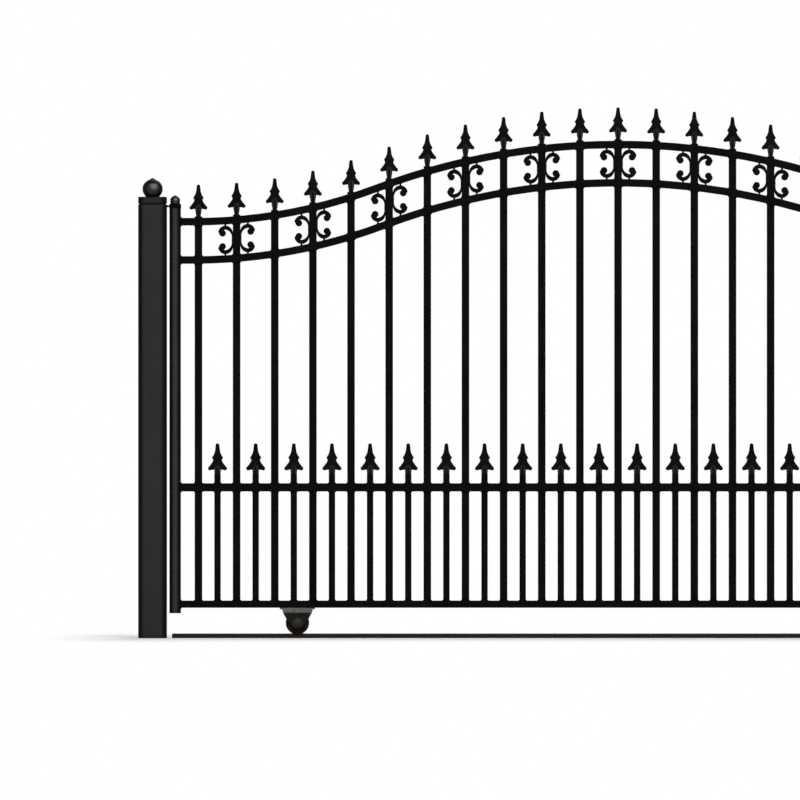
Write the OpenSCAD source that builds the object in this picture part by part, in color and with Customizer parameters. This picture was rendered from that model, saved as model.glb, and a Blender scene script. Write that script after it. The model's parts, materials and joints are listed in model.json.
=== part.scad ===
// Sliding driveway gate: an arched steel leaf on two grooved wheels, a ground track and two posts.
// Millimetres, +Z up, +X along the gate, +Y to the back.
// The origin is the middle of the left post's foot.

/* [Posts] */
// side of the square post
post_w = 100; // [80:1:130]
// wall of the post tube
post_wall = 4; // [3:0.5:8]
// corner radius of the post tube
post_corner = 12; // [6:0.5:16]
// height of the post tube above the ground
post_h = 1516; // [1300:1:1700]
// thickness of the plate that closes the foot of a post or stile
foot_t = 5; // [3:0.5:10]
// height of the post cap
cap_h = 28; // [20:1:40]
// wall of the post cap
cap_wall = 6; // [5:0.5:9]
// height of the recess between the cap and the post
cap_reveal = 5; // [2:0.5:8]
// depth of that recess
cap_inset = 2.5; // [1:0.25:4]
// radius of the upper edge of the post cap
cap_round = 5; // [2:0.5:10]
// radius of the post ball
ball_r = 35.5; // [26:0.5:42]

/* [Leaf] */
// width of the leaf over its stiles
leaf_w = 3140; // [2600:2:3800]
// gap between each post and the closed leaf
post_gap = 9; // [6:0.5:20]
// side of the square stile
stile_w = 40; // [30:1:50]
// wall of the stile tube
stile_wall = 2.5; // [2:0.5:4]
// corner radius of the stile tube
stile_corner = 5; // [3:0.5:7]
// length of the stile below the bottom rail
stile_drop = 19; // [5:1:40]
// length of the stile above the middle of the upper arch rail
stile_over = 46.5; // [25:0.5:80]
// height of the stile cap's collar
collar_h = 16; // [8:0.5:24]
// how far the collar stands out from the stile
collar_lip = 0.75; // [0.5:0.25:3]
// radius of the ball on the stile cap
stile_ball_r = 17.5; // [12:0.5:19]
// radius of the pin that the leaf meets when it shuts
stop_pin_r = 3.3; // [2.5:0.1:4]

/* [Rails] */
// depth of the rails from front to back
rail_d = 40; // [34:1:50]
// wall of the rail tubes
rail_wall = 2; // [1.5:0.5:3]
// height of the bottom rail
bottom_t = 25; // [18:0.5:32]
// height of the middle rail
mid_t = 28.5; // [28:0.5:40]
// height of the middle rail's underside above the ground
mid_z = 513; // [400:1:700]
// height of an arch rail
arch_t = 26.5; // [20:0.5:30]
// height of the upper arch rail's middle at the stiles
arch_z = 1457; // [1300:0.5:1600]
// distance from the upper arch rail down to the lower one
arch_drop = 134; // [120:0.5:170]
// straight length of the arch rails next to a stile
arch_flat = 44.56; // [20:0.01:120]
// radius of the hollow side curve of the upper arch
dip_r = 1810; // [1500:10:2600]
// radius of the crest curve of the upper arch
crest_r = 2410; // [2000:10:3200]
// how much tighter the crest of the lower arch is, and wider its hollow
arch_tuck = 80; // [0:5:140]

/* [Pickets] */
// number of tall pickets
tall_n = 23; // [15:2:29]
// side of a tall picket
tall_w = 26.5; // [18:0.5:28]
// side of a short picket
short_w = 22.5; // [16:0.5:25]
// wall of the picket tubes
picket_wall = 1.6; // [1:0.1:2]
// corner radius of the picket tubes
picket_corner = 2.6; // [2.2:0.1:5]
// distance from a stile to the middle of the first picket
end_bay = 61.5; // [45:0.5:90]
// length of a tall picket above the upper arch rail
tall_over = 2; // [1:0.5:15]
// length of a short picket above the middle rail
short_over = 30; // [10:1:60]
// clearance on each side of a picket in a punched rail
punch_gap = 0.25; // [0.1:0.05:0.5]

/* [Finials] */
// height of a tall picket's finial from its barbs to its tip
finial_h = 89; // [75:1:115]
// width of a tall picket's finial over its barbs
finial_w = 63; // [50:1:75]
// height of a short picket's finial from its barbs to its tip
short_finial_h = 96; // [75:1:115]
// width of a short picket's finial over its barbs
short_finial_w = 67; // [50:1:75]
// greatest thickness of a finial's blade
finial_t = 15; // [12:1:20]
// length of the neck under a tall picket's finial
tall_neck = 26; // [14:1:32]
// radius of that neck where it is narrow
tall_neck_r = 8.6; // [6:0.1:9]
// radius of that neck under the barbs
tall_bell_r = 11.6; // [10:0.1:15]
// length of the neck under a short picket's finial
short_neck = 14; // [10:1:30]
// radius of that neck where it is narrow
short_neck_r = 11; // [6:0.1:11.5]
// radius of that neck under the barbs
short_bell_r = 11.8; // [10:0.1:15]

/* [Scrolls] */
// outer radius of a scroll's curls
curl_r = 25.8; // [20:0.1:27]
// least clearance between a scroll and the arch rails
scroll_gap = 2.9; // [1.5:0.1:6]
// width of the scroll bar seen from the front
scroll_t = 14.5; // [9:0.1:16]
// depth of the scroll bar
scroll_d = 14; // [8:1:20]
// width of the scroll bar beside the picket
scroll_spine = 3.75; // [2:0.25:6]
// straight length of the hollow beside the picket
spine_l = 21; // [4:1:30]
// radius of the ball at the end of a curl
bulb_r = 11.8; // [9:0.1:12.5]

/* [Wheels and track] */
// outer radius of a wheel
wheel_r = 41; // [34:1:48]
// width of a wheel
wheel_w = 24; // [20:0.5:25]
// depth of the groove in a wheel
groove_depth = 4; // [3:0.5:6]
// radius of the wheel axle
axle_r = 6; // [5:0.5:8]
// radius of the axle's domed head
head_r = 18; // [11:0.5:20]
// height of the axle's domed head
head_h = 8; // [4:0.5:10]
// distance from the end of the leaf to a wheel
wheel_inset = 448; // [250:1:700]
// room between a wheel and its bracket's top plate
wheel_head = 6.7; // [5:0.1:20]
// clearance between a wheel and each side of its bracket
wheel_side = 2; // [1:0.5:4]
// length of the bracket's top plate
bracket_w = 124; // [110:1:160]
// thickness of the bracket plates
bracket_t = 5; // [3:0.5:6]
// height of the folded lip under the bracket's top plate
lip_h = 12; // [6:1:16]
// thickness of that lip
lip_t = 2; // [1:0.5:4]
// radius of the bracket's end round the axle
boss_r = 22; // [18:0.5:26]
// height of the track
track_h = 16; // [13:0.5:20]
// radius of the round head of the track
track_r = 9; // [7:0.5:9]
// width of the track's base
track_base_w = 50; // [40:1:80]
// thickness of the track's base
track_base_t = 5; // [4:0.5:8]
// room past the wheels and the leaf at the ends of the track
track_room = 9; // [4:1:40]
// distance that the leaf rolls from shut to open
travel = 3000; // [2000:10:3000]
// thickness of the stop at the end of the track
stop_t = 10; // [6:1:20]
// width of that stop
stop_w = 60; // [40:1:100]

/* [Guide] */
// depth of the guide channel behind the leaf
channel_d = 30; // [26:1:40]
// wall of the guide channel
channel_wall = 3; // [2:0.5:4]
// clearance between the guide channel and the right post
guide_room = 30; // [20:1:60]
// height of a guide roller
roller_h = 20; // [14:1:20]
// clearance between a guide roller and the channel
roller_gap = 0.5; // [0.3:0.1:1.5]
// distance between the guide rollers
roller_pitch = 60; // [40:1:120]
// distance from the end of the leaf to the nearest roller
roller_inset = 29; // [20:1:60]
// radius of a guide roller's pin
pin_r = 4; // [3:0.5:5]
// thickness of the guide bracket's plates
plate_t = 6; // [4:0.5:10]
// distance from the middle rail down to the guide bracket
plate_drop = 20; // [12:1:40]
// width of the guide bracket's flange on the post
flange_w = 80; // [50:1:90]
// height of that flange
flange_h = 60; // [40:1:120]

/* [Hidden] */
$fn = 64;
arch_fn = 720;

coat = "#26272a";
steel = "#4a4943";
zinc = "#76766d";
tyre = "#3a302a";
nylon = "#1c1c1e";

// overlap of shapes that make one solid, and the gap that is left at a seat
fuse = 1;
seat_gap = 0.3;

// places along the gate
leaf_l = post_w / 2 + post_gap;
leaf_r = leaf_l + leaf_w;
leaf_c = leaf_l + leaf_w / 2;
right_x = 2 * leaf_c;
in_l = leaf_l + stile_w;
in_w = leaf_w - 2 * stile_w;

// heights fixed by the wheels
root_r = wheel_r - groove_depth;
wheel_z = track_h + seat_gap + root_r;
bracket_z = wheel_z + wheel_r + wheel_head;
bracket_y = wheel_w / 2 + wheel_side;
bottom_z = bracket_z + bracket_t;
bottom_top = bottom_z + bottom_t;
mid_top = mid_z + mid_t;
stile_z0 = bottom_z - stile_drop;
stile_z1 = arch_z + stile_over;
wheel_x = [leaf_l + wheel_inset, leaf_r - wheel_inset];
stop_z = min(stile_z1 + collar_h / 2, post_h - 1.4 * stop_pin_r);

// balls: height of the middle above the foot and radius of the neck, in ball radii
post_ball_form = [0.77, 0.71];
stile_ball_form = [0.7, 0.95];

// the arches: flat, hollow curve, crest curve, seen from the middle of the leaf
run = in_w / 2 - arch_flat;
arch_sin = run / (dip_r + crest_r);
arch_cos = sqrt(1 - arch_sin * arch_sin);
arch_rise = (dip_r + crest_r) * (1 - arch_cos);
low_dip_r = dip_r + arch_tuck;
low_crest_r = crest_r - arch_tuck;
low_arch_z = arch_z - arch_drop;
function arch(u, dip, crest) = abs(u) >= run ? 0
    : abs(u) > crest * arch_sin ? dip - sqrt(dip * dip - pow(run - abs(u), 2))
    : arch_rise - crest + sqrt(crest * crest - u * u);
function upper_z(x) = arch_z + arch(x - leaf_c, dip_r, crest_r);
function lower_z(x) = low_arch_z + arch(x - leaf_c, low_dip_r, low_crest_r);

// pickets
pitch = (in_w - 2 * end_bay) / (tall_n - 1);
function tall_x(i) = in_l + end_bay + i * pitch;
function short_x(i) = tall_x(i) + pitch / 2;
function tall_top(i) = upper_z(tall_x(i)) + arch_t / 2 + tall_over;
short_top = mid_top + short_over;
pad_t = 3;

// scrolls: two curls, and beside the picket a long hollow whose round ends run into them
curl_in = curl_r - scroll_t;
curl_x = tall_w / 2 + curl_r;
curl_y = (arch_drop - arch_t / arch_cos) / 2 - scroll_gap - curl_r;
spine_x = tall_w / 2 + scroll_spine;
bite = 0.3;
hollow_k = spine_x + curl_in - bite;
hollow_y = spine_l / 2;
hollow_up = curl_y - hollow_y;
hollow_x = (curl_x * curl_x + hollow_up * hollow_up - hollow_k * hollow_k) / (2 * (curl_x - hollow_k));
hollow_r = hollow_x - spine_x;
join_a = 180 - atan2(hollow_up, hollow_x - curl_x);
join_overlap = 5;
heel_a = 6;
bulb = [curl_x + 0.39 * curl_r, curl_y - 0.04 * curl_r];

// track and guide
track_l = leaf_l + track_room;
track_e = wheel_x[1] + travel + wheel_r + track_room;
stop_over = 14;
post_y = rail_d / 2 + channel_d + guide_room + post_w / 2;
post_front = post_y - post_w / 2;
roller_y = rail_d / 2 + channel_d / 2;
roller_r = channel_d / 2 - channel_wall - roller_gap;
roller_head = 3;
roller_z = mid_top - channel_wall - roller_head - roller_h;
roller_x = [leaf_r - roller_inset - roller_pitch, leaf_r - roller_inset];
plate_z = mid_z - plate_drop;
plate_y = rail_d / 2 + plate_t;
gusset_nose = 1.5 * plate_t;

function polar(r, a) = r * [cos(a), sin(a)];

module xz(depth) { rotate([90, 0, 0]) linear_extrude(height = depth, center = true) children(); }
module along_x(length) { rotate([90, 0, 90]) linear_extrude(height = length) children(); }
module both_sides() { for (m = [0, 1]) mirror([m, 0]) children(); }

module round_square(w, r) {
    square([w, w - 2 * r], center = true);
    square([w - 2 * r, w], center = true);
    for (x = [-1, 1], y = [-1, 1]) translate([x * (w / 2 - r), y * (w / 2 - r)]) circle(r);
}

module wedge(a0, a1, r) { polygon([[0, 0], polar(r, a0), polar(r, (a0 + a1) / 2), polar(r, a1)]); }

module ring(r1, r0) { difference() { circle(r1); circle(r0); } }

// a square tube that is closed at its foot
module tube(w, corner, wall, h) {
    difference() {
        linear_extrude(height = h) round_square(w, corner);
        translate([0, 0, foot_t]) linear_extrude(height = h)
            round_square(w - 2 * wall, max(corner - wall, 1));
    }
}

// posts

module post_tube() { tube(post_w, post_corner, post_wall, post_h); }

module cap_side() {
    w = post_w / 2;
    r = cap_round;
    translate([-w, 0]) square([post_w, cap_h - r]);
    translate([-w + r, 0]) square([post_w - 2 * r, cap_h]);
    both_sides() translate([w - r, cap_h - r]) circle(r);
}

module post_cap() {
    translate([0, 0, post_h]) difference() {
        union() {
            linear_extrude(height = cap_reveal + fuse)
                round_square(post_w - 2 * cap_inset, post_corner - cap_inset);
            intersection() {
                translate([0, 0, cap_reveal]) linear_extrude(height = cap_h)
                    round_square(post_w, post_corner);
                xz(2 * post_w) cap_side();
                rotate([0, 0, 90]) xz(2 * post_w) cap_side();
            }
        }
        translate([0, 0, -fuse]) linear_extrude(height = cap_h - cap_wall + fuse)
            round_square(post_w - 2 * cap_wall, max(post_corner - cap_wall, 1));
    }
}

// half outline of a ball on a neck, with a short pointed top
module ball_half(r, form) {
    side_x = 0.05 * r;
    side_r = r - side_x;
    foot = form[0] * r;
    tip = 1.09 * r;
    intersection() {
        union() {
            translate([side_x, 0]) circle(side_r);
            translate([0, -foot]) square([form[1] * r, foot]);
            polygon([[0, 0], [side_x, 0], [side_x, 0] + polar(side_r, 64), [0.04 * r, tip], [0, tip]]);
        }
        translate([0, -foot]) square([2 * r, foot + tip]);
    }
}

// a ball that stands on its foot
module ball(r, form) { translate([0, 0, form[0] * r]) rotate_extrude($fn = 96) ball_half(r, form); }

module post_ball() { translate([0, 0, post_h + cap_h]) ball(ball_r, post_ball_form); }

module left_post() { color(coat) post_tube(); }
module left_post_cap() { color(coat) post_cap(); }
module left_post_ball() { color(coat) post_ball(); }
module right_post() { color(coat) translate([right_x, post_y, 0]) post_tube(); }
module right_post_cap() { color(coat) translate([right_x, post_y, 0]) post_cap(); }
module right_post_ball() { color(coat) translate([right_x, post_y, 0]) post_ball(); }

// a pin on the left post that the leaf's collar meets
module closing_stop() {
    length = post_gap - collar_lip - seat_gap;
    color(coat) translate([post_w / 2, 0, stop_z]) rotate([0, 90, 0]) {
        cylinder(r = stop_pin_r, h = length);
        cylinder(r = 1.35 * stop_pin_r, h = 0.3 * length);
    }
}

// track and guide

module ground_track() {
    color(steel) translate([track_l, 0, 0]) along_x(track_e - track_l) intersection() {
        union() {
            translate([-track_base_w / 2, 0]) square([track_base_w, track_base_t]);
            translate([0, track_h - track_r]) circle(track_r);
        }
        translate([-track_base_w, 0]) square([2 * track_base_w, 2 * track_h]);
    }
}

// a plate with a round notch in its upper edge
module track_stop() {
    h = wheel_z + stop_over;
    color(steel) translate([track_e, 0, 0]) difference() {
        translate([0, -stop_w / 2, 0]) cube([stop_t, stop_w, h]);
        translate([-fuse, 0, h]) rotate([0, 90, 0]) cylinder(r = stop_w / 5, h = stop_t + 2 * fuse);
    }
}

module guide_bracket() {
    x0 = roller_x[0] - 2.2 * roller_r;
    x1 = right_x + flange_w / 2;
    foot_z = plate_z - flange_h;
    color(coat) {
        translate([x0, plate_y, plate_z - plate_t]) cube([x1 - x0, post_front - plate_y, plate_t]);
        translate([right_x - flange_w / 2, post_front - plate_t, foot_z])
            cube([flange_w, plate_t, flange_h - plate_t / 2]);
        translate([right_x, 0, 0]) along_x(plate_t) polygon([[post_front - fuse, foot_z + plate_t],
            [post_front - fuse, plate_z - fuse], [plate_y + gusset_nose, plate_z - fuse],
            [plate_y + gusset_nose, plate_z - gusset_nose]]);
        for (x = roller_x) translate([x, roller_y, plate_z - fuse]) {
            cylinder(r = roller_r - pin_r, h = roller_z - plate_z + fuse);
            cylinder(r = pin_r, h = roller_z - plate_z + roller_h + 2 * fuse);
        }
    }
}

module guide_rollers() {
    color(nylon) for (x = roller_x) translate([x, roller_y, roller_z]) difference() {
        cylinder(r = roller_r, h = roller_h);
        translate([0, 0, -fuse]) cylinder(r = pin_r + seat_gap, h = roller_h + 2 * fuse);
    }
}

// leaf frame

module stile(x) {
    translate([x, 0, stile_z0]) tube(stile_w, stile_corner, stile_wall, stile_z1 - stile_z0);
}

module stile_cap(x) {
    translate([x, 0, stile_z1]) {
        linear_extrude(height = collar_h) round_square(stile_w + 2 * collar_lip, stile_corner);
        translate([0, 0, collar_h - fuse]) ball(stile_ball_r, stile_ball_form);
    }
}

module left_stile() { color(coat) stile(leaf_l + stile_w / 2); }
module right_stile() { color(coat) stile(leaf_r - stile_w / 2); }
module left_stile_cap() { color(coat) stile_cap(leaf_l + stile_w / 2); }
module right_stile_cap() { color(coat) stile_cap(leaf_r - stile_w / 2); }

module straight_rail(z, t) {
    translate([in_l, 0, z]) along_x(in_w) difference() {
        translate([-rail_d / 2, 0]) square([rail_d, t]);
        translate([-rail_d / 2 + rail_wall, rail_wall])
            square([rail_d - 2 * rail_wall, t - 2 * rail_wall]);
    }
}

module punch(x, w, z0, z1) {
    h = w + 2 * punch_gap;
    translate([x - h / 2, -h / 2, z0]) cube([h, h, z1 - z0]);
}

module bottom_rail() { color(coat) straight_rail(bottom_z, bottom_t); }

module mid_rail() {
    color(coat) difference() {
        straight_rail(mid_z, mid_t);
        for (i = [0 : tall_n - 1]) punch(tall_x(i), tall_w, mid_z - fuse, mid_top + fuse);
        for (i = [0 : tall_n - 2]) punch(short_x(i), short_w, mid_z - fuse, mid_top + fuse);
    }
}

// the part of a round band between two lines from its middle
module band_arc(r, t, p, q) {
    intersection() {
        circle(r + t / 2, $fn = arch_fn);
        polygon([[0, 0], 1.25 * r * p, 1.25 * r * q]);
        difference() {
            square(3 * r, center = true);
            circle(r - t / 2, $fn = arch_fn);
        }
    }
}

module arch_band(t, dip, crest) {
    for (s = [-1, 1]) {
        translate([s < 0 ? -in_w / 2 : run, -t / 2]) square([arch_flat, t]);
        translate([s * run, dip]) band_arc(dip, t, [0, -1], [-s * arch_sin, -arch_cos]);
    }
    translate([0, arch_rise - crest])
        band_arc(crest, t, [arch_sin, arch_cos], [-arch_sin, arch_cos]);
}

module arch_rail(z, dip, crest) {
    difference() {
        translate([leaf_c, 0, z]) difference() {
            xz(rail_d) arch_band(arch_t, dip, crest);
            xz(rail_d - 2 * rail_wall) arch_band(arch_t - 2 * rail_wall, dip, crest);
        }
        for (i = [0 : tall_n - 1]) punch(tall_x(i), tall_w, z - arch_t, z + arch_rise + arch_t);
    }
}

module upper_arch_rail() { color(coat) arch_rail(arch_z, dip_r, crest_r); }
module lower_arch_rail() { color(coat) arch_rail(low_arch_z, low_dip_r, low_crest_r); }

// pickets

module picket(x, w, z0, z1) {
    translate([x, 0, z0]) linear_extrude(height = z1 - z0) difference() {
        round_square(w, picket_corner);
        round_square(w - 2 * picket_wall, picket_corner - picket_wall);
    }
}

module tall_pickets() {
    color(coat) for (i = [0 : tall_n - 1]) picket(tall_x(i), tall_w, bottom_top, tall_top(i));
}

module short_pickets() {
    color(coat) for (i = [0 : tall_n - 2]) picket(short_x(i), short_w, bottom_top, short_top);
}

// finials

// middle of the arc of radius r that runs hollow from p to q
function arc_mid(p, q, r) = let (d = q - p, n = norm(d))
    (p + q) / 2 + sqrt(r * r - n * n / 4) * [-d[1], d[0]] / n;

// a shape with straight ends whose two sides are hollow from p to q
module hollow_sides(p, q, r) {
    difference() {
        children();
        both_sides() translate(arc_mid(p, q, r)) circle(r);
    }
}

function mirrored(p) = [-p[0], p[1]];

// front outline: a blunt point, small upper barbs, a waist and wide lower barbs
module finial_front(h, w) {
    tip_r = 0.07 * h;
    barb_r = 0.04 * h;
    lobe_r = 0.075 * h;
    point = [0.97 * tip_r, h - tip_r];
    flare = [0.265 * w, 0.72 * h];
    barb = [0.575 * w, 0.49 * h];
    waist = [0.485 * w, 0.345 * h];
    lobe = [w - lobe_r, 0.085 * h];
    skirt = lobe + polar(0.94 * lobe_r, 50);
    under = [lobe[0], 0.02 * h];
    foot = [0.36 * w, 0.035 * h];
    top = [0, barb[1]];
    translate([0, h - tip_r]) circle(tip_r);
    polygon([point, flare, mirrored(flare), mirrored(point)]);
    hollow_sides(flare, barb, 0.54 * h)
        polygon([flare, barb, [0, waist[1]], mirrored(barb), mirrored(flare)]);
    both_sides() translate(barb - [barb_r, 0.6 * barb_r]) circle(barb_r);
    polygon([waist, barb - [barb_r, 0], mirrored(barb - [barb_r, 0]), mirrored(waist)]);
    hollow_sides(waist, skirt, 1.6 * h)
        polygon([top, waist, skirt, under, foot, mirrored(foot), mirrored(under), mirrored(skirt),
            mirrored(waist)]);
    both_sides() translate(lobe) circle(lobe_r);
}

// the front outline, thinned towards its edges and its tip
module finial_blade(h, w) {
    t = finial_t / 2;
    thin = 0.35 * t;
    rib = 0.15 * w;
    edge = w + fuse;
    intersection() {
        xz(finial_t) finial_front(h, w);
        linear_extrude(height = h + fuse) polygon([[edge, thin], [rib, t], [-rib, t], [-edge, thin],
            [-edge, -thin], [-rib, -t], [rib, -t], [edge, -thin]]);
        rotate([0, 0, 90]) xz(2 * edge) polygon([[0.8 * t, 0], [t, 0.2 * h], [t, 0.45 * h],
            [0.5 * t, h + fuse], [-0.5 * t, h + fuse], [-t, 0.45 * h], [-t, 0.2 * h], [-0.8 * t, 0]]);
    }
}

// a round neck that widens to a bell under the barbs and ends in a point in front of them
module finial_neck(h, neck, neck_r, bell_r) {
    rotate_extrude() polygon([[0, -neck], [neck_r, -neck], [neck_r, -0.7 * neck], [bell_r, -fuse],
        [0.85 * bell_r, 2 * fuse], [0.2 * bell_r, 0.27 * h], [0, 0.27 * h]]);
}

module finial(h, w, side, neck, neck_r, bell_r) {
    translate([0, 0, neck]) {
        finial_blade(h, w / 2);
        finial_neck(h, neck, neck_r, bell_r);
    }
    linear_extrude(height = pad_t) round_square(side, picket_corner);
}

module tall_finials() {
    color(coat) for (i = [0 : tall_n - 1]) translate([tall_x(i), 0, tall_top(i)])
        finial(finial_h, finial_w, tall_w, tall_neck, tall_neck_r, tall_bell_r);
}

module short_finials() {
    color(coat) for (i = [0 : tall_n - 2]) translate([short_x(i), 0, short_top])
        finial(short_finial_h, short_finial_w, short_w, short_neck, short_neck_r, short_bell_r);
}

// scrolls

// upper half of a C-scroll whose back stands against a picket
module scroll_half() {
    reach = 3 * curl_r;
    difference() {
        intersection() {
            union() {
                translate([curl_x, curl_y]) circle(curl_r);
                translate([tall_w / 2, -fuse]) square([curl_r, curl_y + fuse]);
            }
            translate([curl_x, curl_y]) wedge(join_a - join_overlap, 271, reach);
        }
        translate([curl_x, curl_y]) circle(curl_in);
        translate([hollow_x, hollow_y]) circle(hollow_r, $fn = 120);
        translate([spine_x + bite, -2 * fuse]) square([curl_r, hollow_y + 2 * fuse]);
    }
    translate([curl_x, curl_y]) intersection() {
        ring(curl_r, curl_in);
        wedge(heel_a, join_a + join_overlap, reach);
    }
    translate(bulb) circle(bulb_r);
    polygon([bulb, bulb + polar(bulb_r - bite, -45), [curl_x, curl_y] + polar(curl_r - bite, heel_a + 2),
        [curl_x, curl_y] + polar(curl_in + fuse, 40)]);
}

module scroll(x, side) {
    at = x + side * curl_x;
    translate([x, 0, (upper_z(at) + lower_z(at)) / 2]) xz(scroll_d)
        for (m = [0, 1]) mirror([side < 0 ? 1 : 0, 0]) mirror([0, m]) scroll_half();
}

module scrolls() {
    color(coat) for (i = [1 : 2 : tall_n - 2], s = [-1, 1]) scroll(tall_x(i), s);
}

// guide channel behind the middle rail

module guide_channel() {
    color(coat) translate([leaf_l, rail_d / 2, mid_z]) along_x(leaf_w) difference() {
        square([channel_d, mid_t]);
        translate([channel_wall, -fuse])
            square([channel_d - 2 * channel_wall, mid_t - channel_wall + fuse]);
    }
}

// wheels

module bracket_side() {
    w = bracket_w / 2;
    head = [0.88 * w, bracket_z + fuse];
    lip = [0.82 * w, bracket_z - lip_h];
    hip = [0.64 * w, wheel_z + 0.36 * wheel_r];
    toe = [0.9 * boss_r, wheel_z - 0.42 * boss_r];
    difference() {
        union() {
            polygon([head, lip, hip, toe, mirrored(toe), mirrored(hip), mirrored(lip), mirrored(head)]);
            translate([0, wheel_z]) circle(boss_r);
        }
        translate([0, wheel_z]) circle(axle_r + seat_gap);
    }
}

module bracket_lip() {
    w = bracket_w / 2;
    polygon([[0.88 * w, bracket_z + fuse], [0.82 * w, bracket_z - lip_h], [-0.82 * w, bracket_z - lip_h],
        [-0.88 * w, bracket_z + fuse]]);
}

module wheel_bracket(x) {
    y = bracket_y + bracket_t + lip_t;
    translate([x, 0, 0]) {
        translate([-bracket_w / 2, -y, bracket_z]) cube([bracket_w, 2 * y, bracket_t]);
        for (s = [-1, 1]) {
            translate([0, s * (bracket_y + bracket_t / 2), 0]) xz(bracket_t) bracket_side();
            translate([0, s * (y - (lip_t + fuse) / 2), 0]) xz(lip_t + fuse) bracket_lip();
        }
    }
}

// half outline of a flat dome
module dome_half(r, h) {
    dome_r = (r * r + h * h) / (2 * h);
    intersection() {
        translate([0, h - dome_r]) circle(dome_r);
        square([2 * r, h]);
    }
}

module wheel_axle(x) {
    y = bracket_y + bracket_t;
    translate([x, 0, wheel_z]) {
        rotate([90, 0, 0]) cylinder(r = axle_r, h = 2 * (y + fuse), center = true);
        for (s = [-1, 1]) translate([0, s * y, 0]) rotate([-90 * s, 0, 0])
            rotate_extrude() dome_half(head_r, head_h);
    }
}

module wheel_half() {
    bore = axle_r + 0.05;
    dish = wheel_r / 8;
    difference() {
        translate([bore, -wheel_w / 2]) square([wheel_r - bore, wheel_w]);
        translate([root_r + track_r + seat_gap, 0]) circle(track_r + seat_gap);
        for (s = [-1, 1]) translate([wheel_r / 2, s * wheel_w / 2]) polygon([[-0.6 * dish, s],
            [0, -0.6 * dish * s], [dish, -0.6 * dish * s], [1.6 * dish, s]]);
    }
}

module wheel(x) { translate([x, 0, wheel_z]) rotate([90, 0, 0]) rotate_extrude($fn = 120) wheel_half(); }

module left_wheel_bracket() { color(zinc) wheel_bracket(wheel_x[0]); }
module right_wheel_bracket() { color(zinc) wheel_bracket(wheel_x[1]); }
module left_wheel_axle() { color(zinc) wheel_axle(wheel_x[0]); }
module right_wheel_axle() { color(zinc) wheel_axle(wheel_x[1]); }
module left_wheel() { color(tyre) wheel(wheel_x[0]); }
module right_wheel() { color(tyre) wheel(wheel_x[1]); }

left_post();
left_post_cap();
left_post_ball();
right_post();
right_post_cap();
right_post_ball();
ground_track();
track_stop();
closing_stop();
guide_bracket();
guide_rollers();
left_stile();
right_stile();
left_stile_cap();
right_stile_cap();
bottom_rail();
mid_rail();
lower_arch_rail();
upper_arch_rail();
tall_pickets();
short_pickets();
tall_finials();
short_finials();
scrolls();
guide_channel();
left_wheel_bracket();
right_wheel_bracket();
left_wheel_axle();
right_wheel_axle();
left_wheel();
right_wheel();
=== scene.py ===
"""Looks of the sliding driveway gate: paint, worn metal, welds, buds, fasteners, floor, light and camera."""
import json
import math

import bmesh
import bpy
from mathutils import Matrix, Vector
from mathutils.bvhtree import BVHTree


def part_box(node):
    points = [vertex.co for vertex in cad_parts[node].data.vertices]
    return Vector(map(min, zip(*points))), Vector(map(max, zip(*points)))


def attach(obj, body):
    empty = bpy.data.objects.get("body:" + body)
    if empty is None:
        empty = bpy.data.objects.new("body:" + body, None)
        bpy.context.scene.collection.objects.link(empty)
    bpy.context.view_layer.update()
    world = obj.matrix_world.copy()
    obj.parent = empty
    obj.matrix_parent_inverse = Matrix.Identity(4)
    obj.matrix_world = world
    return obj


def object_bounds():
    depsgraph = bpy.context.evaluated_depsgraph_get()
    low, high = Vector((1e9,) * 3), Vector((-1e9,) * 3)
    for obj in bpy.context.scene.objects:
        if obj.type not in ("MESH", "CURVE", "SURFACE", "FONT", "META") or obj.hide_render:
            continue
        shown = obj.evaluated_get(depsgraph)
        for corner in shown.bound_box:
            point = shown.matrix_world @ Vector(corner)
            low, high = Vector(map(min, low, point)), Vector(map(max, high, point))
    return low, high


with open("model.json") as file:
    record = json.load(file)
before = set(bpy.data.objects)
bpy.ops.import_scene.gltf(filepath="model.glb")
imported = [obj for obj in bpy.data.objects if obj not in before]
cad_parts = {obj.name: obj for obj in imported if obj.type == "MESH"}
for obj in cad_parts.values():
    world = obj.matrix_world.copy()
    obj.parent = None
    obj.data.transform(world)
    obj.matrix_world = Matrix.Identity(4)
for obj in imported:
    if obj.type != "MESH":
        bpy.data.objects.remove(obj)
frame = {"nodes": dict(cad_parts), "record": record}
cad_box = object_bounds()
MM = 0.001
X, Y, Z = Vector((1, 0, 0)), Vector((0, 1, 0)), Vector((0, 0, 1))


# shader building

class Field:
    """A shader socket that takes part in Python arithmetic, one Math node for each step."""

    def __init__(self, finish, socket):
        self.finish = finish
        self.socket = socket

    def step(self, operation, *values):
        return self.finish.node("ShaderNodeMath", {"operation": operation}, dict(enumerate(values)))

    def __add__(self, other):
        return self.step("ADD", self, other)

    def __radd__(self, other):
        return self.step("ADD", other, self)

    def __sub__(self, other):
        return self.step("SUBTRACT", self, other)

    def __rsub__(self, other):
        return self.step("SUBTRACT", other, self)

    def __mul__(self, other):
        return self.step("MULTIPLY", self, other)

    def __rmul__(self, other):
        return self.step("MULTIPLY", other, self)

    def __pow__(self, other):
        return self.step("POWER", self, other)

    def larger(self, other):
        return self.step("MAXIMUM", self, other)

    def absolute(self):
        return self.step("ABSOLUTE", self)

    def between(self, low, high):
        """0 below low, 1 above high, smooth in between."""
        sockets = {0: self, 1: low, 2: high, 3: 0.0, 4: 1.0}
        return self.finish.node("ShaderNodeMapRange", {"interpolation_type": "SMOOTHSTEP"}, sockets)


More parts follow.
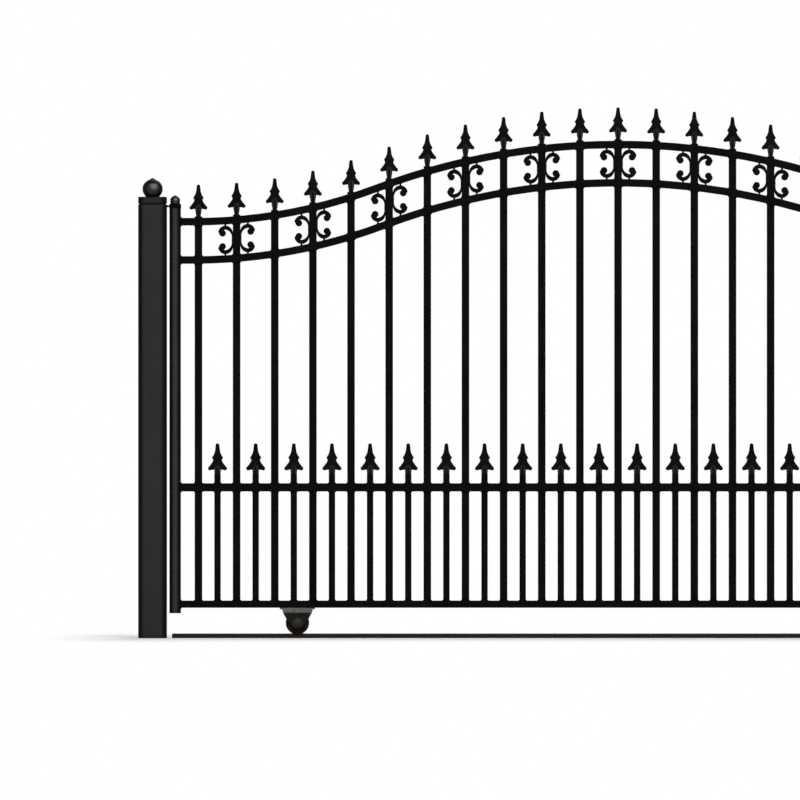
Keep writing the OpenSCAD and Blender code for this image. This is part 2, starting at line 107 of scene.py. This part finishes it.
class Finish:
    """One procedural material. node() adds any node and returns one of its outputs as a Field."""

    def __init__(self, name):
        self.material = bpy.data.materials.new(name)
        self.material.use_nodes = True
        self.tree = self.material.node_tree
        self.shader = self.tree.nodes["Principled BSDF"]
        self.place = self.node("ShaderNodeTexCoord", out="Object")

    def node(self, kind, settings=None, sockets=None, out=0):
        made = self.tree.nodes.new(kind)
        for key, value in (settings or {}).items():
            setattr(made, key, value)
        for key, value in (sockets or {}).items():
            self.feed(made.inputs[key], value)
        return Field(self, made.outputs[out])

    def feed(self, socket, value):
        if isinstance(value, Field):
            self.tree.links.new(value.socket, socket)
        else:
            socket.default_value = value

    def set(self, **sockets):
        for key, value in sockets.items():
            self.feed(self.shader.inputs[key.replace("_", " ")], value)

    def split(self, vector):
        return [self.node("ShaderNodeSeparateXYZ", None, {0: vector}, out=i) for i in range(3)]

    def normal(self):
        return self.split(self.node("ShaderNodeNewGeometry", out="Normal"))

    def noise(self, scale, detail=2.0, roughness=0.5, stretch=None):
        place = self.place
        if stretch:
            place = self.node("ShaderNodeMapping", None, {"Vector": place, "Scale": stretch})
        sockets = {"Vector": place, "Scale": scale, "Detail": detail, "Roughness": roughness}
        return self.node("ShaderNodeTexNoise", None, sockets)

    def cells(self, scale):
        return self.node("ShaderNodeTexVoronoi", None, {"Vector": self.place, "Scale": scale})

    def mix(self, share, first, second):
        return self.node("ShaderNodeMix", {"data_type": "RGBA"}, {0: share, 6: first, 7: second}, out=2)

    def bump(self, height, distance):
        return self.node("ShaderNodeBump", None, {"Height": height, "Distance": distance})

    def seen_rays(self):
        """1 for rays that show the background itself, straight or in a reflection."""
        camera, glossy, through = [self.node("ShaderNodeLightPath", out=kind) for kind in
                                   ("Is Camera Ray", "Is Glossy Ray", "Is Transmission Ray")]
        return camera.larger(glossy).larger(through)


def tone(r, g, b):
    return (r, g, b, 1.0)


# materials

DUST = tone(0.05, 0.047, 0.042)
# Pale tone: real chalk on rails and pickets, painted sheen on castings, posts and stiles.
CHALK_AND_SHEEN = tone(0.041, 0.041, 0.042)
# Pale grey of the painted highlight on the balls.
HIGHLIGHT_GREY = tone(0.16, 0.16, 0.16)
BLACK = tone(0.0012, 0.0012, 0.0013)
FADED_BLACK = tone(0.0028, 0.0028, 0.003)


class BlackPaint(Finish):
    """Black coat with a fine peel, uneven gloss and dust on what faces up."""
    pale = CHALK_AND_SHEEN
    dusty = 0.5

    def __init__(self, name, roughness, gloss, peel_scale, peel_depth):
        super().__init__(name)
        self.patches = self.noise(9.0, 3.0)
        self.streaks = self.noise(1.0, 3.0, stretch=(55.0, 55.0, 2.5))
        film_and_sheen = self.film_and_sheen()
        dust = self.normal()[2].between(0.55, 0.95) * self.noise(60.0, 4.0).between(0.35, 0.75) * self.dusty
        black = self.mix(self.patches.between(0.35, 0.7), BLACK, FADED_BLACK)
        uneven = (self.patches - 0.5) * 0.14 + (self.streaks - 0.5) * 0.1
        # The pale tone comes in by each coat's own mask: real chalk on rails and pickets, painted highlight
        # and sheen on castings, balls, posts and stiles.
        self.set(
            Base_Color=self.mix(dust, self.mix(film_and_sheen, black, self.pale), DUST),
            Roughness=roughness + uneven + film_and_sheen * 0.12 + dust * 0.3,
            Specular_IOR_Level=gloss,
            Normal=self.bump(self.noise(peel_scale, 2.0), peel_depth),
        )

    def film_and_sheen(self):
        """How much the coat has chalked: hardly, on rails and pickets."""
        return self.streaks * 0.04


class CastPaint(BlackPaint):
    """The coat of a casting, grey on round flanks and edges that stand between its faces: edge wear, and a
    painted highlight where they turn partly to the front or back.
    """

    def film_and_sheen(self):
        # Painted highlight, partly edge wear: grey where a surface turns partly to the front or back, on
        # flanks and bevelled edges.
        outer = self.normal()[1].absolute()
        edge = outer.between(0.25, 0.5) * (1 - outer.between(0.8, 0.95))
        return edge * (0.45 + 0.5 * self.streaks + 0.4 * self.patches)


class BallPaint(BlackPaint):
    """The coat of a ball, with a painted highlight: grey on its front and back, brightest in a spot above
    the middle, but not on its top.
    """
    pale = HIGHLIGHT_GREY
    dusty = 0.06

    def __init__(self, name, foot):
        self.foot = foot
        super().__init__(name, 0.4, 0.03, 420.0, 0.08 * MM)

    def film_and_sheen(self):
        # Painted highlight: pale grey in a spot above the middle of the front and back, fainter over the
        # rest of them, none on the top or below the ball's foot.
        z = self.split(self.place)[2]
        to_side, to_front, to_top = self.normal()
        outer = to_front.absolute()
        crown = (0.14 * to_side + 0.92 * outer + 0.35 * to_top).between(0.82, 1.0) ** 2
        rubbed_and_sheen = (0.22 * outer.between(0.6, 1.0) + 0.85 * crown) * (1 - to_top.between(0.42, 0.72))
        return rubbed_and_sheen * z.between(self.foot, self.foot + 3.0 * MM) * (0.8 + 0.4 * self.streaks)


class TubePaint(BlackPaint):
    """The coat of a post or stile, with painted sheen: grey on its flat faces, and painted shade towards its
    corners, which stay black.
    """

    def __init__(self, name, low, high, chalk, fade):
        self.low, self.middle, self.half = low, (low + high) / 2, (high.x - low.x) / 2
        self.chalk, self.fade = chalk, fade
        super().__init__(name, 0.4, 0.06, 700.0, 0.035 * MM)

    def film_and_sheen(self):
        # Painted sheen and shade: grey in the middle of each flat outer face, fading to black towards the
        # corners, and less of it in the lowest 16 mm.
        x, y, z = self.split(self.place)
        to_side, to_front = self.normal()[:2]
        x, y = (x - self.middle.x).absolute(), (y - self.middle.y).absolute()
        front = self.face(to_front, x, y)
        side = self.face(to_side, y, x)
        foot = 0.6 + 0.4 * (z - self.low.z).between(2.0 * MM, 16.0 * MM)
        return front.larger(side) * foot * (0.7 + 0.35 * self.streaks + 0.25 * self.patches) * self.chalk

    def face(self, facing, from_middle, reach):
        """1 in the middle of a flat outer face, 0 at its corners and in recesses."""
        flat = facing.absolute().between(0.9, 0.99)
        inner = 1 - from_middle.between(self.fade[0] * self.half, self.fade[1] * self.half)
        return flat * inner * reach.between(self.half - 2.0 * MM, self.half - 0.8 * MM)


def track_iron():
    """Dark rolled steel with thin rust, worn bright along the crown where the wheels run."""
    iron = Finish("track_iron")
    up = iron.split(iron.place)[2]
    grain = iron.noise(1.0, 4.0, stretch=(6.0, 300.0, 300.0))
    rust = iron.noise(38.0, 6.0, 0.65).between(0.5, 0.72)
    rubbed_and_sheen = up.between(15.0 * MM, 15.9 * MM) * (0.3 + 0.7 * grain)
    scale = iron.mix(grain.between(0.3, 0.7), tone(0.011, 0.0105, 0.0095), tone(0.019, 0.018, 0.016))
    rusty = iron.mix(rust * 0.5, scale, tone(0.034, 0.021, 0.013))
    iron.set(
        Base_Color=iron.mix(rubbed_and_sheen, rusty, tone(0.2, 0.19, 0.175)),
        Metallic=rubbed_and_sheen * 0.8,
        Roughness=0.62 - rubbed_and_sheen * 0.3 + rust * 0.15,
        Specular_IOR_Level=0.12,
        Normal=iron.bump(grain + rust * 0.5, 0.25 * MM),
    )
    return iron.material


def dull_zinc(name, dark_below_height):
    """Zinc plate gone dull, with a faint spangle, and black below a height."""
    zinc = Finish(name)
    up = zinc.split(zinc.place)[2]
    spangle = zinc.cells(160.0)
    blots = zinc.noise(42.0, 5.0, 0.6)
    ragged = up + (blots - 0.5) * 8.0 * MM
    # Darker below a height, with a ragged edge; blots of dirt darken it in patches too.
    dark_below = 1 - ragged.between(dark_below_height - 2.0 * MM, dark_below_height + 1.5 * MM)
    blots_and_dark_below = (blots.between(0.42, 0.75) * 0.6).larger(dark_below * 0.97)
    dark_tone = zinc.mix(blots.between(0.5, 0.75), tone(0.003, 0.0028, 0.0026), tone(0.016, 0.01, 0.007))
    plate = zinc.mix(spangle, tone(0.12, 0.119, 0.104), tone(0.16, 0.158, 0.14))
    zinc.set(
        Base_Color=zinc.mix(blots_and_dark_below, plate, dark_tone),
        Metallic=0.5 - blots_and_dark_below * 0.5,
        Roughness=0.45 + blots_and_dark_below * 0.12 + spangle * 0.08,
        Specular_IOR_Level=0.08,
        Normal=zinc.bump(zinc.noise(500.0, 2.0) + blots * 2.0, 0.12 * MM),
    )
    return zinc.material


def greasy_steel():
    """Turned steel of the axle heads, worn grey under a thin greasy coat."""
    steel = Finish("greasy_steel")
    film_and_sheen = steel.noise(55.0, 4.0, 0.6).between(0.4, 0.7)
    marks = steel.noise(240.0, 3.0)
    steel.set(
        Base_Color=steel.mix(film_and_sheen * 0.8, tone(0.027, 0.026, 0.024), tone(0.01, 0.008, 0.006)),
        Metallic=0.3 - film_and_sheen * 0.25,
        Roughness=0.38 + film_and_sheen * 0.2,
        Specular_IOR_Level=0.14,
        Normal=steel.bump(marks, 0.1 * MM),
    )
    return steel.material


def wheel_iron(name, low, high):
    """Black iron with brown rust in patches and a groove worn by the track."""
    iron = Finish(name)
    along, across, up = iron.split(iron.place)
    middle = (low + high) / 2
    rim = (high.x - low.x) / 2
    radius = ((along - middle.x) ** 2 + (up - middle.z) ** 2) ** 0.5
    rust = iron.noise(70.0, 6.0, 0.65)
    groove = (1 - across.absolute().between(5.5 * MM, 7.6 * MM)) * radius.between(0.84 * rim, 0.88 * rim)
    body = iron.mix(rust.between(0.42, 0.72), tone(0.004, 0.0038, 0.0035), tone(0.026, 0.013, 0.008))
    iron.set(
        Base_Color=iron.mix(groove, body, tone(0.16, 0.15, 0.14)),
        Metallic=groove * 0.8,
        Roughness=0.6 + rust * 0.2 - groove * 0.35,
        Specular_IOR_Level=0.07,
        Normal=iron.bump(rust, 0.3 * MM),
    )
    return iron.material


def black_nylon():
    nylon = Finish("black_nylon")
    scuffs = nylon.noise(1.0, 3.0, stretch=(120.0, 120.0, 700.0))
    rubbed_and_sheen = scuffs.between(0.45, 0.75)
    nylon.set(
        Base_Color=nylon.mix(rubbed_and_sheen, tone(0.012, 0.012, 0.0125), tone(0.035, 0.035, 0.035)),
        Roughness=0.45 + scuffs * 0.2,
        Specular_IOR_Level=0.3,
        Normal=nylon.bump(scuffs, 0.05 * MM),
    )
    return nylon.material


# height of the pale lip at the top of a wheel bracket, above which it is not darkened
LIP_HEIGHT = 17.0 * MM


def make_finishes():
    lip_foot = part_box("left_wheel_bracket")[1].z - LIP_HEIGHT
    return {
        "black_coat": BlackPaint("rail_coat", 0.38, 0.03, 800.0, 0.03 * MM).material,
        "black_cast": CastPaint("cast_coat", 0.36, 0.045, 420.0, 0.12 * MM).material,
        "track_steel": track_iron(),
        "zinc_plate": dull_zinc("bracket_zinc", lip_foot),
        "clean_zinc": dull_zinc("bolt_zinc", 0.0),
        "axle_steel": greasy_steel(),
        "roller_nylon": black_nylon(),
    }


# nodes that look different from the rest of their slot, and how much painted sheen the posts and stiles get,
# with painted shade towards their corners:
# the share in the middle of a face, and where it starts and ends to fade, in halves of the width
SPECIAL = {"left_wheel_axle": "axle_steel", "right_wheel_axle": "axle_steel"}
# heights above each ball's lowest point where its painted highlight starts
BALL_FOOT = {"left_post_ball": 3.0 * MM, "right_post_ball": 3.0 * MM,
             "left_stile_cap": 17.0 * MM, "right_stile_cap": 17.0 * MM}
ON_POST, ON_CAP, ON_STILE = (0.6, (0.56, 0.84)), (0.46, (0.5, 0.78)), (0.95, (0.1, 0.62))
TUBE_SHEEN = {"left_post": ON_POST, "right_post": ON_POST, "left_post_cap": ON_CAP, "right_post_cap": ON_CAP,
           "left_stile": ON_STILE, "right_stile": ON_STILE}


def dress_nodes(finishes):
    for part in frame["record"]["subparts"]:
        name, slot = part["node"], part["material_slot"]
        if slot == "wheel_iron":
            finish = wheel_iron(name + "_iron", *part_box(name))
        elif name in BALL_FOOT:
            finish = BallPaint(name + "_coat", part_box(name)[0].z + BALL_FOOT[name]).material
        elif name in TUBE_SHEEN:
            finish = TubePaint(name + "_coat", *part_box(name), *TUBE_SHEEN[name]).material
        else:
            finish = finishes[SPECIAL.get(name, slot)]
        materials = frame["nodes"][name].data.materials
        materials.clear()
        materials.append(finish)


EDGE_SOFTNESS = {
    "left_post": 1.0, "right_post": 1.0, "left_post_cap": 0.8, "right_post_cap": 0.8,
    "bottom_rail": 0.9, "mid_rail": 0.9, "lower_arch_rail": 0.9, "upper_arch_rail": 0.9,
    "tall_finials": 0.9, "short_finials": 0.9, "left_stile_cap": 0.8, "right_stile_cap": 0.8,
    "scrolls": 1.6, "guide_channel": 0.8, "guide_bracket": 0.8, "track_stop": 0.8, "closing_stop": 0.5,
    "left_wheel_bracket": 0.6, "right_wheel_bracket": 0.6, "left_wheel": 0.6, "right_wheel": 0.6,
}


BEVEL_ANGLE = math.radians(35)


def soften_edges():
    for name, width in EDGE_SOFTNESS.items():
        bevel = frame["nodes"][name].modifiers.new("soft_edges", "BEVEL")
        bevel.width = width * MM
        bevel.segments = 2
        bevel.limit_method = "ANGLE"
        bevel.angle_limit = BEVEL_ANGLE
        bevel.harden_normals = True


# where things are on the CAD nodes

TREES = {}
ROW_GAP = 5 * MM


def touch(name, start, direction):
    """Where a ray first meets a CAD node, in the row frame."""
    if name not in TREES:
        mesh = frame["nodes"][name].data
        points = [v.co for v in mesh.vertices]
        TREES[name] = BVHTree.FromPolygons(points, [p.vertices for p in mesh.polygons])
    return TREES[name].ray_cast(start, direction)[0]


def boxes_along(name):
    """Boxes of a node's solids, which stand in a row along X at least a row gap apart."""
    points = sorted((v.co.copy() for v in frame["nodes"][name].data.vertices), key=lambda p: p.x)
    rows = [[points[0]]]
    for before, point in zip(points, points[1:]):
        if point.x - before.x > ROW_GAP:
            rows.append([])
        rows[-1].append(point)
    return [(Vector([min(p[i] for p in row) for i in range(3)]),
             Vector([max(p[i] for p in row) for i in range(3)])) for row in rows]


# welds and fasteners

SMOOTH_ANGLE = math.radians(40)


class Shape:
    """Points and faces of one piece, gathered from lofts."""

    def __init__(self):
        self.points = []
        self.faces = []

    def loft(self, rings, closed=False):
        """A skin over rings of equally many points, capped unless the last ring runs on into the first."""
        start, count, last = len(self.points), len(rings[0]), len(rings)
        for ring in rings:
            self.points.extend(ring)
        for i in range(last if closed else last - 1):
            a, b = start + i * count, start + (i + 1) % last * count
            for j in range(count):
                k = (j + 1) % count
                self.faces.append((a + j, a + k, b + k, b + j))
        if not closed:
            self.faces.append(tuple(range(start, start + count)))
            self.faces.append(tuple(range(start + (last - 1) * count, start + last * count)))

    def place(self, name, body, slot, finish):
        mesh = bpy.data.meshes.new(name)
        mesh.from_pydata(self.points, [], self.faces)
        work = bmesh.new()
        work.from_mesh(mesh)
        bmesh.ops.recalc_face_normals(work, faces=work.faces)
        work.to_mesh(mesh)
        work.free()
        mesh.shade_smooth()
        mesh.set_sharp_from_angle(angle=SMOOTH_ANGLE)
        mesh.materials.append(finish)
        piece = bpy.data.objects.new(name, mesh)
        bpy.context.scene.collection.objects.link(piece)
        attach(piece, body)


BEAD_ANGLES = [math.radians(a) for a in (-14, 18, 45, 72, 104)]
DROP_TURN = 2.1


def add_bead(shape, path, leg, closed=False):
    """A fillet weld along a path of (corner, out, up), which swells and sinks from drop to drop."""
    rings = []
    for i, (corner, out, up) in enumerate(path):
        size = leg * (1 + 0.16 * math.sin(i * DROP_TURN) + 0.08 * math.sin(i * 0.73))
        root = corner - 0.3 * size * (out + up)
        rings.append([root] + [corner + size * (math.cos(a) * out + math.sin(a) * up) for a in BEAD_ANGLES])
    shape.loft(rings, closed)


def round_box(half_w, half_h, corner, steps):
    """Points round a rectangle with round corners, each with its outward direction, as complex numbers."""
    path = []
    for quarter in range(4):
        turn = 1j ** quarter
        reach, flat = (half_w, half_h - corner) if quarter % 2 == 0 else (half_h, half_w - corner)
        path += [((reach + 1j * flat * (2 * i / steps - 1)) * turn, turn) for i in range(steps + 1)]
        slant = complex(math.cos(math.pi / 4), math.sin(math.pi / 4))
        path.append((((reach - corner) + 1j * flat + corner * slant) * turn, slant * turn))
    return path


WELD_LEG = 2.6 * MM
BRACKET_LEG = 2.0 * MM
TUBE_CORNER = 2.6 * MM
SIDE_STEPS = 7
RAILS_OF_TALL = ("mid_rail", "lower_arch_rail", "upper_arch_rail")
FAR = 5.0


def weld_picket(shape, low, high, rail, up):
    """A weld round a picket where it meets the upper or lower face of a rail."""
    x, half = (low.x + high.x) / 2, (high.x - low.x) / 2
    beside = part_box(rail)[1].y - 2 * MM
    ends = [touch(rail, Vector((x + s * half, beside, FAR * up)), -up * Z).z for s in (-1, 1)]
    path = []
    for spot, out in round_box(half, half, TUBE_CORNER, SIDE_STEPS):
        share = (spot.real / half + 1) / 2
        height = ends[0] + (ends[1] - ends[0]) * share
        path.append((Vector((x + spot.real, spot.imag, height)), Vector((out.real, out.imag, 0)), up * Z))
    add_bead(shape, path, WELD_LEG, closed=True)


def weld_pickets(finish):
    for name, rails in (("tall_pickets", RAILS_OF_TALL), ("short_pickets", ("mid_rail",))):
        shape = Shape()
        for low, high in boxes_along(name):
            weld_picket(shape, low, high, "bottom_rail", 1)
            for rail in rails:
                weld_picket(shape, low, high, rail, -1)
                if rail != "upper_arch_rail":
                    weld_picket(shape, low, high, rail, 1)
        shape.place(name[:-1] + "_welds", "leaf", "black_coat", finish)


def weld_rail_ends(finish):
    """A weld round each end of each rail, where it meets a stile."""
    shape = Shape()
    for rail in ("bottom_rail",) + RAILS_OF_TALL:
        low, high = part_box(rail)
        beside = high.y - 2 * MM
        for x, inward in ((low.x, 1), (high.x, -1)):
            near = x + inward * 6 * MM
            top = touch(rail, Vector((near, beside, FAR)), -Z).z
            foot = touch(rail, Vector((near, beside, -FAR)), Z).z
            middle, half = (top + foot) / 2, (top - foot) / 2
            path = [(Vector((x, spot.real, middle + spot.imag)), Vector((0, out.real, out.imag)), inward * X)
                    for spot, out in round_box(high.y, half, 1 * MM, 2 * SIDE_STEPS)]
            add_bead(shape, path, 1.2 * WELD_LEG, closed=True)
    shape.place("rail_end_welds", "leaf", "black_coat", finish)


def add_ring(rings, place, axis, side, radius, height, count):
    """Appends a regular ring of points round an axis."""
    across = axis.cross(side)
    turns = [i * math.tau / count for i in range(count)]
    centre = place + height * axis
    rings.append([centre + radius * (math.cos(t) * side + math.sin(t) * across) for t in turns])


NUB_RADIUS = 5.4 * MM
NUB_SINK = 1.6 * MM
NUB_RINGS = 9
NUB_SIDES = 14


def add_nub(shape, low, high, radius):
    """A drop of weld metal that is drawn out between two pieces, one above the other."""
    rings = []
    for i in range(NUB_RINGS):
        share = i / (NUB_RINGS - 1)
        r = radius * (0.62 + 0.38 * (2 * share - 1) ** 2 + 0.04 * math.sin(i * DROP_TURN))
        add_ring(rings, low + (high - low) * share, Z, X, r, 0.0, NUB_SIDES)
    shape.loft(rings)


def weld_scrolls(finish):
    """Drops of weld between each scroll and the arch rails, and beads along its back on the picket."""
    shape = Shape()
    pickets = [(low.x + high.x) / 2 for low, high in boxes_along("tall_pickets")]
    points = [v.co for v in frame["nodes"]["scrolls"].data.vertices]
    for low, high in boxes_along("scrolls"):
        own = [p for p in points if low.x - MM < p.x < high.x + MM]
        for up, rail in ((1, "upper_arch_rail"), (-1, "lower_arch_rail")):
            tip = max(own, key=lambda p: up * p.z)
            spot = Vector((tip.x, 0, tip.z))
            rest = touch(rail, spot + up * 0.1 * MM * Z, up * Z)
            add_nub(shape, spot - up * NUB_SINK * Z, rest + up * NUB_SINK * Z, NUB_RADIUS)
        picket = min(pickets, key=lambda x: abs(x - (low.x + high.x) / 2))
        away = 1 if low.x > picket else -1
        back = low.x if away > 0 else high.x
        middle = (low.z + high.z) / 2
        for face in (low.y, high.y):
            front = -1 if face == low.y else 1
            path = [(Vector((back, face, middle + i * 2.2 * MM)), away * X, front * Y) for i in range(-7, 8)]
            add_bead(shape, path, 1.1 * WELD_LEG)
    shape.place("scroll_welds", "leaf", "black_cast", finish)


def weld_brackets(finish):
    """Three short beads on each side of a wheel bracket's top plate, under the bottom rail."""
    shape = Shape()
    rail_low, rail_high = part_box("bottom_rail")
    for name in ("left_wheel_bracket", "right_wheel_bracket"):
        low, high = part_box(name)
        length = (high.x - low.x) / 5
        for y, front in ((rail_low.y, -1), (rail_high.y, 1)):
            for start in (0.15, 2.0, 3.85):
                path = [(Vector((low.x + length * (start + i / 14), y, high.z)), front * Y, Z)
                        for i in range(15)]
                add_bead(shape, path, BRACKET_LEG)
    shape.place("bracket_welds", "leaf", "black_coat", finish)


# millimetres: the height of a finial above the foot of its barbs, and the radius of its neck there
FINIALS = {"tall_finials": (89.0, 11.6), "short_finials": (96.0, 11.8)}
# shares of the neck's radius: the bud at the barbs' foot, and its root, which is sunk in the neck
BUD_FIT = 0.985
BUD_ROOT = 0.88
BUD_SINK = 1.5 * MM
BUD_RISE = 26.0 * MM
BUD_STEPS = 8
BUD_SIDES = 28


def swell_finials(finish):
    """A bud on each finial, where the round neck runs up between the barbs to a blunt point."""
    for name, (height, neck) in FINIALS.items():
        shape = Shape()
        for low, high in boxes_along(name):
            foot = Vector(((low.x + high.x) / 2, 0, high.z - height * MM))
            rings = []
            add_ring(rings, foot, Z, X, BUD_ROOT * neck * MM, -BUD_SINK, BUD_SIDES)
            for i in range(BUD_STEPS):
                share = i / BUD_STEPS
                radius = BUD_FIT * neck * MM * math.sqrt(1 - share ** 2)
                add_ring(rings, foot, Z, X, radius, share * BUD_RISE, BUD_SIDES)
            shape.loft(rings)
        shape.place(name[:-1] + "_buds", "leaf", "black_cast", finish)


# profiles of radius and height, in widths across flats for a washer and corner radii and widths for a head
WASHER = ((0.5, 0.0), (1.08, 0.0), (1.12, 0.03), (1.12, 0.1), (1.08, 0.13), (0.5, 0.13))
BOLT_HEAD = ((1.0, 0.12), (1.0, 0.68), (0.9, 0.76), (0.55, 0.77), (0.5, 0.74))
WASHER_SIDES = 36
HEXAGON = 6
# width across flats, and where the flange bolts are: from the post's middle and above the bracket's foot
BOLT_FLATS = 13 * MM
BOLT_SPREAD = 26 * MM
BOLT_RISE = 22 * MM


def add_bolt(shape, place, axis, flats):
    """A hexagon head with a chamfered top on a washer, standing on a face along an axis."""
    side = X if abs(axis.x) < 0.5 else Y
    corner = flats / math.sqrt(3)
    washer = []
    for radius, height in WASHER:
        add_ring(washer, place, axis, side, radius * flats, height * flats, WASHER_SIDES)
    shape.loft(washer)
    head = []
    for radius, height in BOLT_HEAD:
        add_ring(head, place, axis, side, radius * corner, height * flats, HEXAGON)
    shape.loft(head)


def bolt_guide(finish):
    """Two bolts through the guide bracket's flange, and a nut under each roller's pin."""
    shape = Shape()
    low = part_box("guide_bracket")[0]
    post_low, post_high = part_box("right_post")
    post_x = (post_low.x + post_high.x) / 2
    for side in (-1, 1):
        spot = Vector((post_x + side * BOLT_SPREAD, -FAR, low.z + BOLT_RISE))
        add_bolt(shape, touch("guide_bracket", spot, Y), -Y, BOLT_FLATS)
    for roller_low, roller_high in boxes_along("guide_rollers"):
        middle = (roller_low + roller_high) / 2
        add_bolt(shape, touch("guide_bracket", Vector((middle.x, middle.y, 0)), Z), -Z, BOLT_FLATS)
    shape.place("guide_bolts", "posts_and_track", "zinc_plate", finish)


# profiles of radius and height in millimetres
SCREW_HEAD = ((6.4, 0.0), (6.4, 0.7), (5.9, 1.5), (4.8, 2.1), (3.3, 2.3))
SCREW_SOCKET = ((3.4, 2.32), (3.0, 2.35), (2.8, 1.0), (1.2, 0.9))
SCREW_SIDES = 30
SCREW_INSET = 8.5 * MM
TRACK_BAYS = 12
STOP_LEG = 3.2 * MM


def add_track_screw(shape, place):
    """A low round head with a hexagon socket."""
    rings = []
    for radius, height in SCREW_HEAD:
        add_ring(rings, place, Z, X, radius * MM, height * MM, SCREW_SIDES)
    shape.loft(rings)
    socket = []
    for radius, height in SCREW_SOCKET:
        add_ring(socket, place, Z, X, radius * MM, height * MM, HEXAGON)
    shape.loft(socket)


def screw_track(finish):
    """Two screws in each bay of the track, and two beads at the foot of its end stop."""
    shape = Shape()
    low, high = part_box("ground_track")
    for i in range(TRACK_BAYS):
        x = low.x + (high.x - low.x) * (i + 0.5) / TRACK_BAYS
        for side in (-1, 1):
            y = side * (high.y - SCREW_INSET)
            add_track_screw(shape, touch("ground_track", Vector((x, y, FAR)), -Z))
    stop_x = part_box("track_stop")[0].x
    base = touch("ground_track", Vector((high.x - 5 * MM, high.y - 4 * MM, FAR)), -Z).z
    for side in (-1, 1):
        path = [(Vector((stop_x, side * (11 + i) * MM, base)), -X, Z) for i in range(14)]
        add_bead(shape, path, STOP_LEG)
    shape.place("track_screws", "posts_and_track", "track_steel", finish)


# studio

# how far from the gate the floor turns white, past its ends and on its sides
END_FADE = 0.4
SIDE_FADE = 1.4


def lay_floor():
    """A pale floor that takes the shadow near the gate and turns plain white away from it."""
    reach = 400.0
    mesh = bpy.data.meshes.new("floor")
    corners = [(-reach, -reach, 0), (reach, -reach, 0), (reach, reach, 0), (-reach, reach, 0)]
    mesh.from_pydata(corners, [], [(0, 1, 2, 3)])
    floor = bpy.data.objects.new("floor", mesh)
    bpy.context.scene.collection.objects.link(floor)
    finish = Finish("floor")
    along, across = finish.split(finish.place)[:2]
    middle, half = (cad_box[0] + cad_box[1]) / 2, (cad_box[1] - cad_box[0]) / 2
    beyond = (((along - middle.x).absolute() - half.x) * (1 / END_FADE)).larger(0.0)
    aside = (((across - middle.y).absolute() - half.y) * (1 / SIDE_FADE)).larger(0.0)
    away = ((beyond ** 2 + aside ** 2) ** 0.5).between(0.06, 1.0)
    finish.set(Base_Color=tone(0.97, 0.97, 0.97), Roughness=0.9, Specular_IOR_Level=0.1)
    white = finish.node("ShaderNodeEmission", None, {"Color": tone(1, 1, 1), "Strength": 1.0})
    lit = Field(finish, finish.shader.outputs[0])
    share = finish.seen_rays() * away
    surface = finish.node("ShaderNodeMixShader", None, {0: share, 1: lit, 2: white})
    finish.feed(finish.tree.nodes["Material Output"].inputs[0], surface)
    mesh.materials.append(finish.material)


class Sky(Finish):
    """The world: white where it is seen, softer where it lights."""

    def __init__(self):
        world = bpy.data.worlds.new("studio")
        world.use_nodes = True
        bpy.context.scene.world = world
        self.tree = world.node_tree
        back = self.tree.nodes["Background"]
        back.inputs["Color"].default_value = tone(1, 1, 1)
        self.feed(back.inputs["Strength"], 0.55 + 0.45 * self.seen_rays())


def hang_lamp(name, place, aim, width, height, power):
    data = bpy.data.lights.new(name, "AREA")
    data.shape = "RECTANGLE"
    data.size = width
    data.size_y = height
    data.energy = power
    lamp = bpy.data.objects.new(name, data)
    lamp.location = place
    lamp.rotation_euler = (Vector(aim) - Vector(place)).to_track_quat("-Z", "Y").to_euler()
    bpy.context.scene.collection.objects.link(lamp)


def light_studio():
    Sky()
    hang_lamp("key_lamp", (1.6, -5.0, 5.0), (1.3, 0, 0.9), 1.8, 1.2, 130)
    hang_lamp("fill_lamp", (5.5, -5.0, 2.6), (2.0, 0, 0.9), 3.0, 2.5, 40)
    hang_lamp("rear_lamp", (1.5, 4.0, 5.0), (1.6, 0, 0.6), 4.0, 2.0, 105)


# the photo's frame: 800 pixels across, the left post's middle and the ground line in pixels
PHOTO_WIDTH = 800
PIXEL = 3.5 * MM
POST_PIXEL = 152.6
GROUND_PIXEL = 638.0
CAMERA_AWAY = 60.0


def set_camera():
    data = bpy.data.cameras.new("camera")
    data.sensor_width = 36.0
    data.lens = data.sensor_width * CAMERA_AWAY / (PHOTO_WIDTH * PIXEL)
    data.clip_end = 2000.0
    camera = bpy.data.objects.new("camera", data)
    middle = PHOTO_WIDTH / 2
    camera.location = ((middle - POST_PIXEL) * PIXEL, -CAMERA_AWAY, (GROUND_PIXEL - middle) * PIXEL)
    camera.rotation_euler = (math.radians(90), 0, 0)
    bpy.context.scene.collection.objects.link(camera)
    bpy.context.scene.camera = camera


bpy.context.scene.view_settings.view_transform = "Standard"
set_camera()
finishes = make_finishes()
dress_nodes(finishes)
soften_edges()
weld_pickets(finishes["black_coat"])
weld_rail_ends(finishes["black_coat"])
weld_scrolls(finishes["black_cast"])
weld_brackets(finishes["black_coat"])
swell_finials(finishes["black_cast"])
bolt_guide(finishes["clean_zinc"])
screw_track(finishes["track_steel"])
lay_floor()
light_studio()
